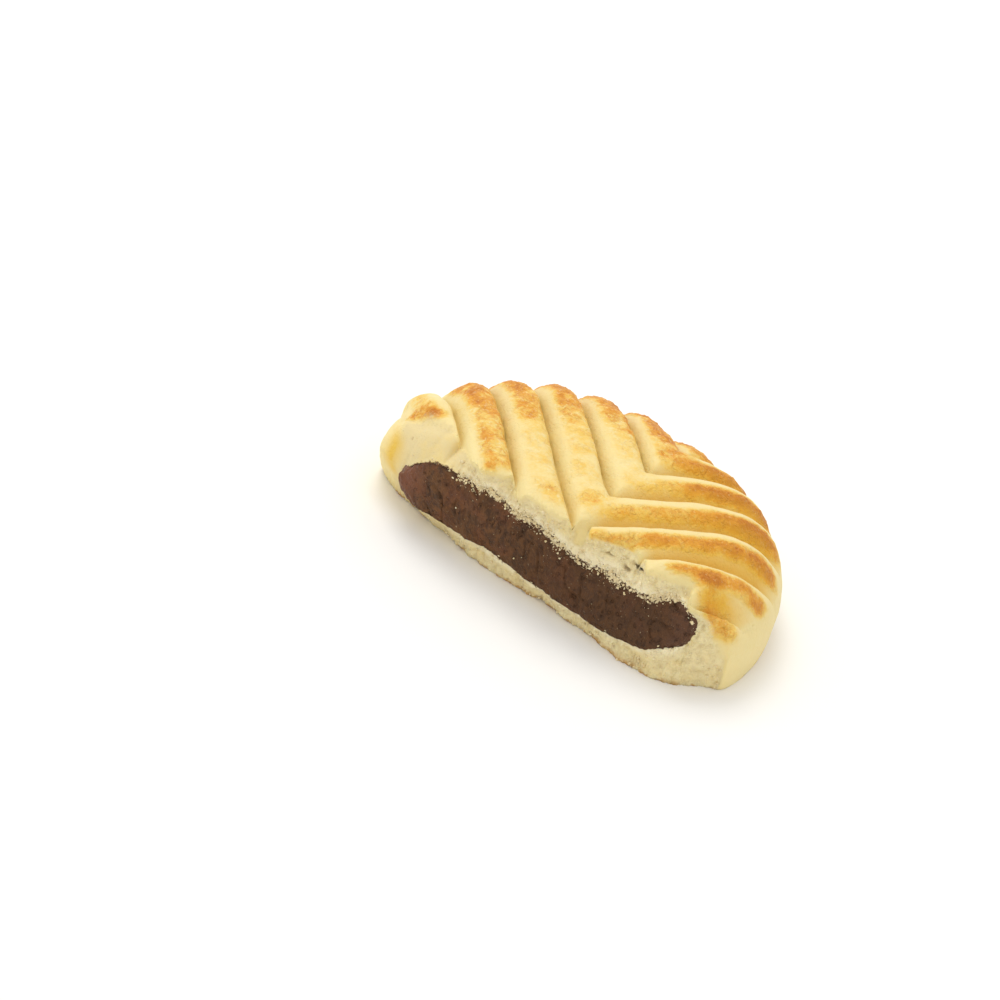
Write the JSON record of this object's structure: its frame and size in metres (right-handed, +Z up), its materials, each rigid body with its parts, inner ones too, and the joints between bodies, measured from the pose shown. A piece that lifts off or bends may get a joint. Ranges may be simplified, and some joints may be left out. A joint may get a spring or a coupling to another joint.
{
  "type": "filled biscuit",
  "caption": "Round maamoul cookie with pressed herringbone ridges, broken open across to show its date filling.",
  "frame": {"origin": "middle of the object's box, on the plane it rests on", "axes": "+X along the broken edge, +Y from the broken edge toward the far rim, +Z up through the ridged top"},
  "size_m": [0.058, 0.0404, 0.0152],
  "materials": {
    "dough": "baked short dough, pale in the grooves and browned on the ridges",
    "filling": "dark brown date paste, slightly moist"
  },
  "bodies": {
    "root": {"dough": "dough", "filling": "filling"}
  },
  "joints": []
}
